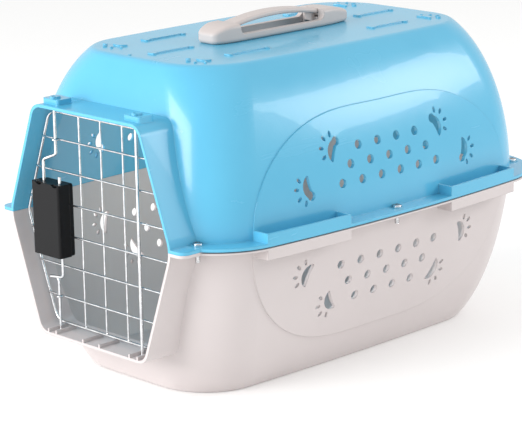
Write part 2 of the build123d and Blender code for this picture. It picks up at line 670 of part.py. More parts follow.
def plate_screw_places():
    """The two latch screws, between the crossbars that the housing is clamped over."""
    middle = LATCH_BOTTOM + LATCH_HEIGHT / 2
    return [middle - PLATE_SCREW_SPREAD, middle + PLATE_SCREW_SPREAD]


def make_latch_housing(welded):
    """An open-backed box with arched cuts at its top, over the front of two crossbars."""
    back = CROSSBAR_Y
    depth = back - FRONT
    y = FRONT + depth / 2
    z = LATCH_BOTTOM + LATCH_HEIGHT / 2
    box = Pos(LATCH_X, y, z) * Box(LATCH_WIDTH, depth, LATCH_HEIGHT)
    front_edges = box.edges().filter_by(Axis.Z).group_by(Axis.Y)[0]
    box = fillet(front_edges, LATCH_CORNER)
    hollow = Pos(LATCH_X, y + LATCH_WALL, z) * Box(
        LATCH_WIDTH - 2 * LATCH_WALL, depth, LATCH_HEIGHT - 2 * LATCH_WALL
    )
    housing = box - hollow
    for height in plate_screw_places():
        post = Cylinder(POST_RADIUS, depth)
        hole = Cylinder(PLATE_SCREW_RADIUS, 2 * PLATE_SCREW_DEPTH)
        housing = housing + Pos(LATCH_X, y, height) * Rot(90, 0, 0) * post
        housing = housing - Pos(LATCH_X, back, height) * Rot(90, 0, 0) * hole
    for x in (UPPER_LEG_X, LOWER_LEG_X):
        bore = rod(x, LATCH_PLACE_Y, LATCH_BOTTOM - 1, LATCH_TOP + 1, LATCH_ROD_RADIUS + SLIDING)
        scallop = Rot(90, 0, 0) * Cylinder(SCALLOP_RADIUS, 2 * SCALLOP_DEPTH)
        housing = housing - bore - Pos(x, FRONT, LATCH_TOP + SCALLOP_RISE) * scallop
    for other in welded:
        housing = housing - other
    return housing


def make_backplate(welded):
    y = CROSSBAR_Y + BACKPLATE_THICKNESS / 2
    z = LATCH_BOTTOM + LATCH_HEIGHT / 2
    plate = Pos(LATCH_X, y, z) * Box(LATCH_WIDTH, BACKPLATE_THICKNESS, LATCH_HEIGHT)
    plate = fillet(plate.edges().filter_by(Axis.Y), LATCH_CORNER)
    for height in plate_screw_places():
        plate = plate - Pos(LATCH_X, y, height) * Rot(90, 0, 0) * Cylinder(
            PLATE_SCREW_RADIUS + SCREW_HOLE, 2 * BACKPLATE_THICKNESS
        )
    for other in welded:
        plate = plate - other
    return plate


def make_plate_screws():
    screws = []
    back = CROSSBAR_Y + BACKPLATE_THICKNESS
    length = BACKPLATE_THICKNESS + PLATE_SCREW_DEPTH - PILOT_EXTRA
    for height in plate_screw_places():
        head = Pos(LATCH_X, back + PLATE_HEAD_HEIGHT / 2, height) * Rot(90, 0, 0) * Cylinder(
            PLATE_SCREW_HEAD_RADIUS, PLATE_HEAD_HEIGHT
        )
        shank = Pos(LATCH_X, back - length / 2, height) * Rot(90, 0, 0) * Cylinder(
            PLATE_SCREW_RADIUS, length
        )
        screws.append(head + shank)
    return screws


def make_flange_screws():
    screws = []
    seat = SEAM_HEIGHT + FLANGE_THICKNESS + BOSS_HEIGHT
    for x, y in screw_places():
        head = Pos(x, y, seat + SCREW_HEAD_HEIGHT / 2) * Cylinder(SCREW_HEAD_RADIUS, SCREW_HEAD_HEIGHT)
        head = fillet(head.edges().group_by(Axis.Z)[-1], SCREW_HEAD_DOME)
        screws.append(head + rod(x, y, seat - SCREW_LENGTH, seat, SCREW_RADIUS))
    return screws


def make_flange_nuts():
    nuts = []
    top = SEAM_HEIGHT - FLANGE_THICKNESS
    for x, y in screw_places():
        blank = RegularPolygon(NUT_ACROSS_FLATS / 2, 6, major_radius=False)
        nut = Pos(x, y, top - NUT_HEIGHT) * extrude(blank, NUT_HEIGHT)
        nuts.append(nut - rod(x, y, top - 2 * NUT_HEIGHT, top + 1, SCREW_RADIUS + THREAD_GAP))
    return nuts


def make_handle_screws():
    screws = []
    seat = ROOF_HEIGHT - WALL
    for x, y in handle_screw_places():
        head = Pos(x, y, seat - SCREW_HEAD_HEIGHT / 2) * Cylinder(SCREW_HEAD_RADIUS, SCREW_HEAD_HEIGHT)
        head = fillet(head.edges().group_by(Axis.Z)[0], SCREW_HEAD_DOME)
        screws.append(head + rod(x, y, seat, ROOF_HEIGHT + HANDLE_SCREW_DEPTH - PILOT_EXTRA, SCREW_RADIUS))
    return screws


def handle_profile():
    """The handle base seen from the side: low ends that rise to a crest at each pad."""
    half = HANDLE_LENGTH / 2
    front, rear = WINDOW_FRONT - PAD_CREST_INSET, WINDOW_REAR + PAD_CREST_INSET
    edges = [Line((-half, 0), (half, 0)), Line((front, PAD_HEIGHT), (rear, PAD_HEIGHT))]
    for end, crest, along in ((-half, front, -1), (half, rear, 1)):
        low, high = (end, PAD_END_HEIGHT), (crest, PAD_HEIGHT)
        edges.append(Line((end, 0), low))
        edges.append(TangentArc(high, low, tangent=(along, 0)))
    return make_face(edges)


def handle_plan():
    """Straight sides along the window that curve in to narrower, rounded ends."""
    half, width, end = HANDLE_LENGTH / 2, HANDLE_WIDTH / 2, HANDLE_END_WIDTH / 2
    edges = []
    for side in (-1, 1):
        edges.append(Line((side * width, WINDOW_FRONT), (side * width, WINDOW_REAR)))
        for along, window in ((-1, WINDOW_FRONT), (1, WINDOW_REAR)):
            start, finish = (side * width, window), (side * end, along * half)
            edges.append(TangentArc(start, finish, tangent=(0, along)))
            edges.append(Line(finish, (0, along * half)))
    face = make_face(edges)
    tips = [v for v in face.vertices() if abs(v.Y) > half - 1 and abs(v.X) > 1]
    return fillet(tips, HANDLE_CORNER)


def make_handle_base():
    """Two hollow pads joined by low rails, open between them for the grip."""
    ground = Pos(0, HANDLE_Y, ROOF_HEIGHT)
    side_plane = Plane(origin=(0, HANDLE_Y, ROOF_HEIGHT), x_dir=(0, 1, 0), z_dir=(1, 0, 0))
    base = ground * extrude(handle_plan(), PAD_HEIGHT)
    base = base & extrude(side_plane * handle_profile(), HANDLE_WIDTH, both=True)
    rim = [e for e in base.edges() if e.center().Z > ROOF_HEIGHT + PAD_END_HEIGHT - 1]
    rim = [e for e in rim if abs(e.tangent_at(0.5).Z) < 0.9 and abs(e.center().X) > 1]
    rim += [e for e in base.edges() if abs(e.center().Y - HANDLE_Y) > HANDLE_LENGTH / 2 - 1]
    base = fillet(rim, PAD_ROUNDING)
    opening = Pos(0, HANDLE_Y + GRIP_SHIFT, ROOF_HEIGHT)
    cut = Pos(0, 0, RAIL_HEIGHT + PAD_HEIGHT) * Box(2 * HANDLE_WIDTH, GRIP_WINDOW, 2 * PAD_HEIGHT)
    cut = fillet(cut.edges().filter_by(Axis.X).group_by(Axis.Z)[0], RAIL_RAMP)
    window = Box(HANDLE_WIDTH - 2 * RAIL_WIDTH, GRIP_WINDOW, 4 * PAD_HEIGHT)
    cavity = Box(CAVITY_WIDTH, GRIP_WINDOW + 2 * CAVITY_DEPTH, 2 * CAVITY_HEIGHT)
    base = base - opening * cut - opening * window - opening * cavity
    for x, y in handle_screw_places():
        base = base - Pos(x, y, ROOF_HEIGHT) * Cylinder(SCREW_RADIUS, 2 * HANDLE_SCREW_DEPTH)
    return base


def make_handle_grip():
    """An arch between the pads, with a leg and a foot at each end under the pad's roof."""
    end = GRIP_WINDOW / 2 - FREE
    shoulder = PAD_HEIGHT - GRIP_END_DROP
    low = shoulder - GRIP_END_THICKNESS
    lines = [
        ThreePointArc((-end, shoulder), (0, GRIP_RISE), (end, shoulder)),
        Line((end, shoulder), (end, low)),
        ThreePointArc((end, low), (0, GRIP_RISE - GRIP_THICKNESS), (-end, low)),
        Line((-end, low), (-end, shoulder)),
    ]
    middle = Pos(0, HANDLE_Y + GRIP_SHIFT, ROOF_HEIGHT)
    plane = Plane(origin=(0, HANDLE_Y + GRIP_SHIFT, ROOF_HEIGHT), x_dir=(0, 1, 0), z_dir=(1, 0, 0))
    grip = extrude(plane * make_face(lines), GRIP_WIDTH / 2, both=True)
    long_edges = [e for e in grip.edges() if e.length > end and abs(e.center().X) > GRIP_WIDTH / 4]
    grip = fillet(long_edges, GRIP_ROUNDING)
    foot_middle = FOOT_HEIGHT + FOOT_THICKNESS / 2
    leg_length = low + 1 - FOOT_HEIGHT
    for side in (-1, 1):
        leg = Pos(0, side * (end - LEG_THICKNESS / 2), FOOT_HEIGHT + leg_length / 2) * Box(
            LEG_WIDTH, LEG_THICKNESS, leg_length
        )
        foot = Pos(0, side * (end + FOOT_REACH / 2), foot_middle) * Box(
            CAVITY_WIDTH - 2 * FREE, FOOT_REACH, FOOT_THICKNESS
        )
        grip = grip + middle * leg + middle * foot
    return grip


def make_parts():
    frame_wire = make_frame_wire()
    uprights = make_uprights(frame_wire)
    hinge_rod = make_hinge_rod()
    crossbars = make_crossbars([frame_wire, hinge_rod, *uprights.values()])
    rods = make_latch_rods()
    clamped = [crossbars[f"crossbar_{n}"] for n in range(1, CROSSBARS + 1)] + [frame_wire]
    parts = {
        "upper_shell": make_upper_shell(),
        "lower_shell": make_lower_shell(),
        "flange_screws": Compound(children=make_flange_screws()),
        "flange_nuts": Compound(children=make_flange_nuts()),
        "handle_base": make_handle_base(),
        "handle_grip": make_handle_grip(),
        "handle_screws": Compound(children=make_handle_screws()),
        "door_frame_wire": frame_wire,
        "hinge_rod": hinge_rod,
        "rod_guide_upper": make_rod_guide(UPPER_ROD_X, crossbar_height(1), crossbars["crossbar_1"]),
        "rod_guide_lower": make_rod_guide(
            -ROD_X, crossbar_height(CROSSBARS), crossbars[f"crossbar_{CROSSBARS}"]
        ),
        "latch_housing": make_latch_housing(clamped),
        "latch_backplate": make_backplate(clamped),
        "latch_plate_screws": Compound(children=make_plate_screws()),
    }
    parts.update(uprights)
    parts.update(crossbars)
    parts.update(rods)
    parts.update(make_rod_stops(rods))
    parts.update(make_springs())
    return parts


if __name__ == "__main__":
    os.makedirs("parts", exist_ok=True)
    for name, shape in make_parts().items():
        export_step(shape, f"parts/{name}.step")
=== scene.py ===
import math

import bpy
from mathutils import Matrix, Vector


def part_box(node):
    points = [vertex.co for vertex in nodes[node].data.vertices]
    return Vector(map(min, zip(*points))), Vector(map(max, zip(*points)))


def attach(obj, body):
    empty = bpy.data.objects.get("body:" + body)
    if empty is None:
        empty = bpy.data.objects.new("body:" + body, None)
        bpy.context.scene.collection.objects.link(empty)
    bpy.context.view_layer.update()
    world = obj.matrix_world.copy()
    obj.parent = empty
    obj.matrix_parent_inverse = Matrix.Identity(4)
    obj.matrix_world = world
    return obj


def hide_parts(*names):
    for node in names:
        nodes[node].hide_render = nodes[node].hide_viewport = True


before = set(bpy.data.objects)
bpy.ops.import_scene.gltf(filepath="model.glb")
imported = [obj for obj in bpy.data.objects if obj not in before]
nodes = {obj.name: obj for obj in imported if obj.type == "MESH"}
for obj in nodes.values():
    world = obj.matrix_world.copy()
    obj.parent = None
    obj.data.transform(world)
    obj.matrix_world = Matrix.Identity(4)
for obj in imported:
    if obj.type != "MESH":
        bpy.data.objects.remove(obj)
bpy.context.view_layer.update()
scene = bpy.context.scene


# ---------------------------------------------------------------- lower shell
# A deep tub moulded in one shot of warm off-white polypropylene, with its half of the
# door collar and a flange round its rim. The skin has a very fine orange-peel grain,
# faint flow marks and a few handling scuffs.

def group_of(name, inputs, outputs):
    """An empty shader group with its sockets made, and its two end nodes."""
    tree = bpy.data.node_groups.new(name, "ShaderNodeTree")
    for label, kind, value in inputs:
        socket = tree.interface.new_socket(label, in_out="INPUT", socket_type=kind)
        socket.default_value = value
    for label, kind in outputs:
        tree.interface.new_socket(label, in_out="OUTPUT", socket_type=kind)
    return tree, tree.nodes.new("NodeGroupInput"), tree.nodes.new("NodeGroupOutput")


def maths(tree, operation, first, second):
    """A Math node fed with sockets or numbers; returns its result."""
    node = tree.nodes.new("ShaderNodeMath")
    node.operation = operation
    for slot, value in enumerate((first, second)):
        if isinstance(value, (int, float)):
            node.inputs[slot].default_value = value
        else:
            tree.links.new(value, node.inputs[slot])
    return node.outputs[0]


def noise(tree, place, scale, detail, roughness=0.5):
    """A Noise node at a place; scale is a number or a socket."""
    node = tree.nodes.new("ShaderNodeTexNoise")
    node.inputs["Detail"].default_value = detail
    node.inputs["Roughness"].default_value = roughness
    if isinstance(scale, (int, float)):
        node.inputs["Scale"].default_value = scale
    else:
        tree.links.new(scale, node.inputs["Scale"])
    tree.links.new(place, node.inputs["Vector"])
    return node.outputs["Fac"]


def spread(tree, value, low, high, to_low, to_high):
    """Maps a value from low..high to to_low..to_high, clamped."""
    node = tree.nodes.new("ShaderNodeMapRange")
    for label, number in (("From Min", low), ("From Max", high), ("To Min", to_low), ("To Max", to_high)):
        node.inputs[label].default_value = number
    tree.links.new(value, node.inputs["Value"])
    return node.outputs["Result"]


def build_moulded_skin():
    """Grain, flow marks and scuffs of a moulded plastic surface, in metres."""
    tree, start, end = group_of(
        "moulded skin",
        [("Grain Scale", "NodeSocketFloat", 900.0), ("Flow Scale", "NodeSocketFloat", 9.0),
         ("Scuff Scale", "NodeSocketFloat", 60.0)],
        [("Height", "NodeSocketFloat"), ("Flow", "NodeSocketFloat"), ("Scuff", "NodeSocketFloat")],
    )
    place = tree.nodes.new("ShaderNodeTexCoord").outputs["Object"]
    fine = noise(tree, place, start.outputs["Grain Scale"], 2.0)
    broad = noise(tree, place, maths(tree, "MULTIPLY", start.outputs["Grain Scale"], 0.12), 1.0)
    height = maths(tree, "ADD", maths(tree, "MULTIPLY", fine, 0.6), maths(tree, "MULTIPLY", broad, 0.4))
    flow = noise(tree, place, start.outputs["Flow Scale"], 3.0, 0.55)
    stretch = tree.nodes.new("ShaderNodeMapping")
    stretch.inputs["Rotation"].default_value = (0.3, 0.5, 0.7)
    stretch.inputs["Scale"].default_value = (1.0, 0.06, 1.0)
    tree.links.new(place, stretch.inputs["Vector"])
    lines = noise(tree, stretch.outputs["Vector"], start.outputs["Scuff Scale"], 4.0, 0.7)
    scuff = spread(tree, lines, 0.62, 0.74, 0.0, 1.0)
    tree.links.new(height, end.inputs["Height"])
    tree.links.new(flow, end.inputs["Flow"])
    tree.links.new(scuff, end.inputs["Scuff"])
    return tree


moulded_skin = build_moulded_skin()


def moulded_plastic(name, shade, light, gloss, grain_height, rounding):
    """A moulded plastic: shade and light are its two tones, gloss its two roughnesses."""
    material = bpy.data.materials.new(name)
    material.use_nodes = True
    tree = material.node_tree
    surface = tree.nodes["Principled BSDF"]
    skin = tree.nodes.new("ShaderNodeGroup")
    skin.node_tree = moulded_skin
    tone = tree.nodes.new("ShaderNodeMix")
    tone.data_type = "RGBA"
    tone.inputs["A"].default_value = (*shade, 1.0)
    tone.inputs["B"].default_value = (*light, 1.0)
    tree.links.new(spread(tree, skin.outputs["Flow"], 0.3, 0.7, 0.0, 1.0), tone.inputs["Factor"])
    tree.links.new(tone.outputs["Result"], surface.inputs["Base Color"])
    worn = maths(tree, "MULTIPLY", skin.outputs["Scuff"], 0.05)
    rough = spread(tree, skin.outputs["Flow"], 0.3, 0.7, gloss[0], gloss[1])
    tree.links.new(maths(tree, "ADD", rough, worn), surface.inputs["Roughness"])
    edge = tree.nodes.new("ShaderNodeBevel")
    edge.samples = 6
    edge.inputs["Radius"].default_value = rounding
    bump = tree.nodes.new("ShaderNodeBump")
    bump.inputs["Strength"].default_value = 0.35
    bump.inputs["Distance"].default_value = grain_height
    tree.links.new(skin.outputs["Height"], bump.inputs["Height"])
    tree.links.new(edge.outputs["Normal"], bump.inputs["Normal"])
    tree.links.new(bump.outputs["Normal"], surface.inputs["Normal"])
    surface.inputs["IOR"].default_value = 1.49
    return material


def paint(object_name, material):
    """Puts one material on every face of a CAD node."""
    slots = nodes[object_name].material_slots
    for slot in slots:
        slot.material = material
    if not slots:
        nodes[object_name].data.materials.append(material)


off_white = moulded_plastic(
    "off-white shell plastic", (0.60, 0.545, 0.54), (0.63, 0.575, 0.57), (0.30, 0.34), 0.0002, 0.0012
)
paint("lower_shell", off_white)


# ---------------------------------------------------------------- upper shell
# The hood, moulded in glossy sky-blue polypropylene: the roof with its raised bars and
# paw prints, the arched side panels with their vents, the other half of the collar and
# the lugs that hold the door's rods.

sky_blue = moulded_plastic(
    "sky-blue shell plastic", (0.095, 0.44, 0.66), (0.11, 0.47, 0.69), (0.24, 0.28), 0.00018, 0.0012
)
sky_blue.node_tree.nodes["Principled BSDF"].inputs["Coat Weight"].default_value = 0.25
paint("upper_shell", sky_blue)


# ---------------------------------------------------------------- flange nuts
# Six plain hexagon nuts of zinc-plated steel, chamfered on both faces, drawn up against
# the underside of the lower flange.

def build_plating_marks_and_rim_reflection():
    """Cloudy plating and fine drawn streaks of plated steel, and a facing mask for the dark reflection
    painted on its round edges.
    """
    tree, start, end = group_of(
        "plating marks and rim reflection",
        [("Cloud Scale", "NodeSocketFloat", 220.0), ("Streak Scale", "NodeSocketFloat", 1400.0)],
        [("Cloud", "NodeSocketFloat"), ("Streak", "NodeSocketFloat"), ("Rim", "NodeSocketFloat")],
    )
    place = tree.nodes.new("ShaderNodeTexCoord").outputs["Object"]
    # Facing mask for the dark reflection painted on round edges.
    rim = tree.nodes.new("ShaderNodeLayerWeight")
    rim.inputs["Blend"].default_value = 0.5
    cloud = noise(tree, place, start.outputs["Cloud Scale"], 4.0, 0.6)
    streak = noise(tree, place, start.outputs["Streak Scale"], 2.0)
    tree.links.new(cloud, end.inputs["Cloud"])
    tree.links.new(streak, end.inputs["Streak"])
    tree.links.new(rim.outputs["Facing"], end.inputs["Rim"])
    return tree


plating_marks_and_rim_reflection = build_plating_marks_and_rim_reflection()


def plated_steel(name, shade, light, gloss, cloud_scale, rim=(0.10, 0.10, 0.11)):
    """Bright plated steel: shade and light are its two tones, rim the dark reflection painted
    on its round edges, gloss its two roughnesses."""
    material = bpy.data.materials.new(name)
    material.use_nodes = True
    tree = material.node_tree
    surface = tree.nodes["Principled BSDF"]
    surface.inputs["Metallic"].default_value = 1.0
    marks = tree.nodes.new("ShaderNodeGroup")
    marks.node_tree = plating_marks_and_rim_reflection
    marks.inputs["Cloud Scale"].default_value = cloud_scale
    tone = tree.nodes.new("ShaderNodeMix")
    tone.data_type = "RGBA"
    tone.inputs["A"].default_value = (*shade, 1.0)
    tone.inputs["B"].default_value = (*light, 1.0)
    tree.links.new(spread(tree, marks.outputs["Cloud"], 0.35, 0.6, 0.0, 1.0), tone.inputs["Factor"])
    # Painted reflection: the colour is darkened towards the rim tone where the surface turns away from view,
    # as on round edges.
    painted_rim_reflection = tree.nodes.new("ShaderNodeMix")
    painted_rim_reflection.data_type = "RGBA"
    painted_rim_reflection.inputs["B"].default_value = (*rim, 1.0)
    tree.links.new(tone.outputs["Result"], painted_rim_reflection.inputs["A"])
    tree.links.new(spread(tree, marks.outputs["Rim"], 0.35, 0.8, 0.0, 0.9), painted_rim_reflection.inputs["Factor"])
    tree.links.new(painted_rim_reflection.outputs["Result"], surface.inputs["Base Color"])
    rough = spread(tree, marks.outputs["Cloud"], 0.3, 0.7, gloss[0], gloss[1])
    tree.links.new(rough, surface.inputs["Roughness"])
    bump = tree.nodes.new("ShaderNodeBump")
    bump.inputs["Strength"].default_value = 0.25
    bump.inputs["Distance"].default_value = 0.00004
    tree.links.new(marks.outputs["Streak"], bump.inputs["Height"])
    tree.links.new(bump.outputs["Normal"], surface.inputs["Normal"])
    return material


bright_zinc = plated_steel("bright zinc", (0.62, 0.63, 0.65), (0.86, 0.87, 0.88), (0.16, 0.30), 260.0)


class NodeRecipe:
    """A geometry tree that is built step by step, with named inputs for its sizes."""

    def __init__(self, name, inputs):
        self.tree = bpy.data.node_groups.new(name, "GeometryNodeTree")
        self.tree.interface.new_socket("Geometry", in_out="INPUT", socket_type="NodeSocketGeometry")
        self.sockets = {}
        for label, kind in inputs:
            socket = self.tree.interface.new_socket(label, in_out="INPUT", socket_type=kind)
            self.sockets[label] = socket.identifier
        self.tree.interface.new_socket("Geometry", in_out="OUTPUT", socket_type="NodeSocketGeometry")
        self.start = self.tree.nodes.new("NodeGroupInput")
        self.end = self.tree.nodes.new("NodeGroupOutput")

    def add(self, kind, links=(), values=(), settings=()):
        """A node with its sockets linked, its numbers set and its modes chosen."""
        node = self.tree.nodes.new(kind)
        for label, value in settings:
            setattr(node, label, value)
        for socket, value in values:
            node.inputs[socket].default_value = value
        for socket, source in links:
            self.tree.links.new(source, node.inputs[socket])
        return node

    def maths(self, operation, first, second):
        return maths(self.tree, operation, first, second)

    def vector(self, x, y, z):
        node = self.tree.nodes.new("ShaderNodeCombineXYZ")
        for slot, value in enumerate((x, y, z)):
            if isinstance(value, (int, float)):
                node.inputs[slot].default_value = value
            else:
                self.tree.links.new(value, node.inputs[slot])
        return node.outputs[0]

    def finish(self, geometry):
        """Ends the tree with real geometry and one material."""
        real = self.add("GeometryNodeRealizeInstances", [("Geometry", geometry)])
        smooth = self.add("GeometryNodeSetShadeSmooth", [("Geometry", real.outputs[0])],
                          [("Shade Smooth", True)])
        painted = self.add("GeometryNodeSetMaterial", [("Geometry", smooth.outputs[0])])
        self.tree.links.new(self.start.outputs["Material"], painted.inputs["Material"])
        self.tree.links.new(painted.outputs[0], self.end.inputs["Geometry"])

    def make(self, name, points, values, crease=35.0):
        """Runs the tree on points and returns its result as a plain mesh object."""
        seed = bpy.data.meshes.new(name + " places")
        seed.from_pydata(points, [], [])
        source = bpy.data.objects.new(name, seed)
        scene.collection.objects.link(source)
        modifier = source.modifiers.new("made by nodes", "NODES")
        modifier.node_group = self.tree
        for label, value in values.items():
            modifier[self.sockets[label]] = value
        bpy.context.view_layer.update()
        evaluated = source.evaluated_get(bpy.context.evaluated_depsgraph_get())
        mesh = bpy.data.meshes.new_from_object(evaluated)
        source.modifiers.remove(modifier)
        source.data = mesh
        mesh.name = name
        mesh.set_sharp_from_angle(angle=math.radians(crease))
        return source


def middle(node):
    """The middle of a CAD node's box."""
    low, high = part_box(node)
    return (low + high) / 2


NUT_FLATS = 0.007
NUT_HEIGHT = 0.0032
NUT_BORE = 0.00205
NUT_SPACING = 0.01          # wider than a nut, closer than two of them


def solid_centres(node, spacing):
    """Centres of a CAD node's separate solids, which stand more than spacing apart in plan."""
    groups = []
    for vertex in nodes[node].data.vertices:
        place = vertex.co.copy()
        group = next((g for g in groups if (place.xy - g[0].xy).length < spacing), None)
        if group is None:
            groups.append([place])
        else:
            group.append(place)
    centres = []
    for group in groups:
        low = Vector([min(place[i] for place in group) for i in range(3)])
        high = Vector([max(place[i] for place in group) for i in range(3)])
        centres.append((low + high) / 2)
    return centres


def nut_recipe():
    """A hexagon with its corners chamfered by a flattened ball, and a bore."""
    recipe = NodeRecipe("hexagon nut", [
        ("Flats", "NodeSocketFloat"), ("Height", "NodeSocketFloat"), ("Bore", "NodeSocketFloat"),
        ("Material", "NodeSocketMaterial"),
    ])
    flats, height = recipe.start.outputs["Flats"], recipe.start.outputs["Height"]
    corner = recipe.maths("MULTIPLY", flats, 0.5 / math.cos(math.pi / 6))
    blank = recipe.add("GeometryNodeMeshCylinder", [("Radius", corner), ("Depth", height)],
                       [("Vertices", 6)])
    ball = recipe.add("GeometryNodeMeshUVSphere", values=[("Segments", 48), ("Rings", 24), ("Radius", 1.0)])
    wide = recipe.maths("MULTIPLY", corner, 1.02)
    ball = recipe.add("GeometryNodeTransform", [
        ("Geometry", ball.outputs["Mesh"]),
        ("Scale", recipe.vector(wide, wide, recipe.maths("MULTIPLY", height, 0.86))),
    ])
    chamfered = recipe.add("GeometryNodeMeshBoolean", settings=[("operation", "INTERSECT")])
    recipe.tree.links.new(blank.outputs["Mesh"], chamfered.inputs[1])
    recipe.tree.links.new(ball.outputs["Geometry"], chamfered.inputs[1])
    bore = recipe.add("GeometryNodeMeshCylinder",
                      [("Radius", recipe.start.outputs["Bore"]),
                       ("Depth", recipe.maths("MULTIPLY", height, 2.0))], [("Vertices", 32)])
    bored = recipe.add("GeometryNodeMeshBoolean", [(0, chamfered.outputs["Mesh"]), (1, bore.outputs["Mesh"])],
                       settings=[("operation", "DIFFERENCE")])
    placed = recipe.add("GeometryNodeInstanceOnPoints",
                        [("Points", recipe.start.outputs["Geometry"]), ("Instance", bored.outputs["Mesh"])])
    recipe.finish(placed.outputs["Instances"])
    return recipe


nut_places = solid_centres("flange_nuts", NUT_SPACING)
nuts = nut_recipe().make("hexagon_nuts", nut_places, {
    "Flats": NUT_FLATS, "Height": NUT_HEIGHT, "Bore": NUT_BORE, "Material": bright_zinc,
}, 20.0)
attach(nuts, "shell")
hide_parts("flange_nuts")


# ---------------------------------------------------------------- flange screws
# Six pan-head machine screws with a cross recess and rolled threads, bright plated, each
# through a boss in the upper flange and the lower flange under it.

HEAD_RADIUS = 0.0044
HEAD_HEIGHT = 0.0026
SHANK_RADIUS = 0.0019
THREAD_PITCH = 0.0007


def screw_recipe():
    """A pan head with a cross recess on a threaded shank; the head's seat is at height 0."""
    recipe = NodeRecipe("pan-head screw", [
        ("Head Radius", "NodeSocketFloat"), ("Head Height", "NodeSocketFloat"),
        ("Shank Radius", "NodeSocketFloat"), ("Length", "NodeSocketFloat"),
        ("Pitch", "NodeSocketFloat"), ("Material", "NodeSocketMaterial"),
    ])
    out = recipe.start.outputs
    radius, height, length = out["Head Radius"], out["Head Height"], out["Length"]
    rim = recipe.add("GeometryNodeMeshCylinder",
                     [("Radius", radius), ("Depth", recipe.maths("MULTIPLY", height, 0.4))],
                     [("Vertices", 64)])
    rim = recipe.add("GeometryNodeTransform", [
        ("Geometry", rim.outputs["Mesh"]),
        ("Translation", recipe.vector(0.0, 0.0, recipe.maths("MULTIPLY", height, 0.2))),
    ])
    crown = recipe.add("GeometryNodeMeshUVSphere", values=[("Segments", 64), ("Rings", 32), ("Radius", 1.0)])
    crown = recipe.add("GeometryNodeTransform", [
        ("Geometry", crown.outputs["Mesh"]),
        ("Translation", recipe.vector(0.0, 0.0, recipe.maths("MULTIPLY", height, 0.4))),
        ("Scale", recipe.vector(radius, radius, recipe.maths("MULTIPLY", height, 0.6))),
    ])
    above = recipe.add("GeometryNodeMeshCube", [
        ("Size", recipe.vector(recipe.maths("MULTIPLY", radius, 3.0), recipe.maths("MULTIPLY", radius, 3.0),
                               recipe.maths("MULTIPLY", height, 2.0))),
    ])
    above = recipe.add("GeometryNodeTransform", [
        ("Geometry", above.outputs["Mesh"]),
        ("Translation", recipe.vector(0.0, 0.0, recipe.maths("MULTIPLY", height, 1.3))),
    ])
    cap = recipe.add("GeometryNodeMeshBoolean", settings=[("operation", "INTERSECT")])
    recipe.tree.links.new(crown.outputs["Geometry"], cap.inputs[1])
    recipe.tree.links.new(above.outputs["Geometry"], cap.inputs[1])
    head = recipe.add("GeometryNodeMeshBoolean", settings=[("operation", "UNION")])
    recipe.tree.links.new(rim.outputs["Geometry"], head.inputs[1])
    recipe.tree.links.new(cap.outputs["Mesh"], head.inputs[1])
    for long_side, short_side in ((1.15, 0.26), (0.26, 1.15)):
        slot = recipe.add("GeometryNodeMeshCube", [
            ("Size", recipe.vector(recipe.maths("MULTIPLY", radius, long_side),
                                   recipe.maths("MULTIPLY", radius, short_side),
                                   recipe.maths("MULTIPLY", height, 1.1))),
        ])
        slot = recipe.add("GeometryNodeTransform", [
            ("Geometry", slot.outputs["Mesh"]), ("Translation", recipe.vector(0.0, 0.0, height)),
        ])
        head = recipe.add("GeometryNodeMeshBoolean",
                          [(0, head.outputs["Mesh"]), (1, slot.outputs["Geometry"])],
                          settings=[("operation", "DIFFERENCE")])
    shank = recipe.add("GeometryNodeMeshCylinder",
                       [("Radius", out["Shank Radius"]), ("Depth", length)], [("Vertices", 32)])
    down = recipe.vector(0.0, 0.0, recipe.maths("MULTIPLY", length, -0.5))
    shank = recipe.add("GeometryNodeTransform",
                       [("Geometry", shank.outputs["Mesh"]), ("Translation", down)])
    threaded = recipe.maths("MULTIPLY", length, 0.72)
    turns = recipe.maths("DIVIDE", threaded, out["Pitch"])
    thread = recipe.add("GeometryNodeCurveSpiral", [
        ("Rotations", turns), ("Start Radius", out["Shank Radius"]), ("End Radius", out["Shank Radius"]),
        ("Height", threaded),
    ], [("Resolution", 20)])
    ridge = recipe.add("GeometryNodeCurvePrimitiveCircle",
                       [("Radius", recipe.maths("MULTIPLY", out["Pitch"], 0.3))], [("Resolution", 6)])
    thread = recipe.add("GeometryNodeCurveToMesh",
                        [("Curve", thread.outputs["Curve"]), ("Profile Curve", ridge.outputs["Curve"])],
                        [("Fill Caps", True)])
    bottom = recipe.vector(0.0, 0.0, recipe.maths("MULTIPLY", length, -0.99))
    thread = recipe.add("GeometryNodeTransform",
                        [("Geometry", thread.outputs["Mesh"]), ("Translation", bottom)])
    whole = recipe.add("GeometryNodeJoinGeometry")
    for part in (head.outputs["Mesh"], shank.outputs["Geometry"], thread.outputs["Geometry"]):
        recipe.tree.links.new(part, whole.inputs[0])
    turn = recipe.add("FunctionNodeRandomValue", settings=[("data_type", "FLOAT")])
    turn.inputs[2].default_value = 0.0
    turn.inputs[3].default_value = math.pi / 2
    turn.inputs["Seed"].default_value = 4
    placed = recipe.add("GeometryNodeInstanceOnPoints", [
        ("Points", recipe.start.outputs["Geometry"]), ("Instance", whole.outputs["Geometry"]),
        ("Rotation", recipe.vector(0.0, 0.0, turn.outputs[1])),
    ])
    recipe.finish(placed.outputs["Instances"])
    return recipe


screw_low, screw_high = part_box("flange_screws")
seat_height = screw_high.z - HEAD_HEIGHT
screw_places = [Vector((p.x, p.y, seat_height)) for p in nut_places]
screws = screw_recipe().make("pan_head_screws", screw_places, {
    "Head Radius": HEAD_RADIUS, "Head Height": HEAD_HEIGHT, "Shank Radius": SHANK_RADIUS,
    "Length": seat_height - screw_low.z, "Pitch": THREAD_PITCH, "Material": bright_zinc,
})
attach(screws, "shell")
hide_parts("flange_screws")


# ---------------------------------------------------------------- carrying handle
# A base of warm grey plastic, two pads joined by low rails, screwed on from inside the
# roof. The grip is a separate arch of the same plastic whose feet are caught in the pads.

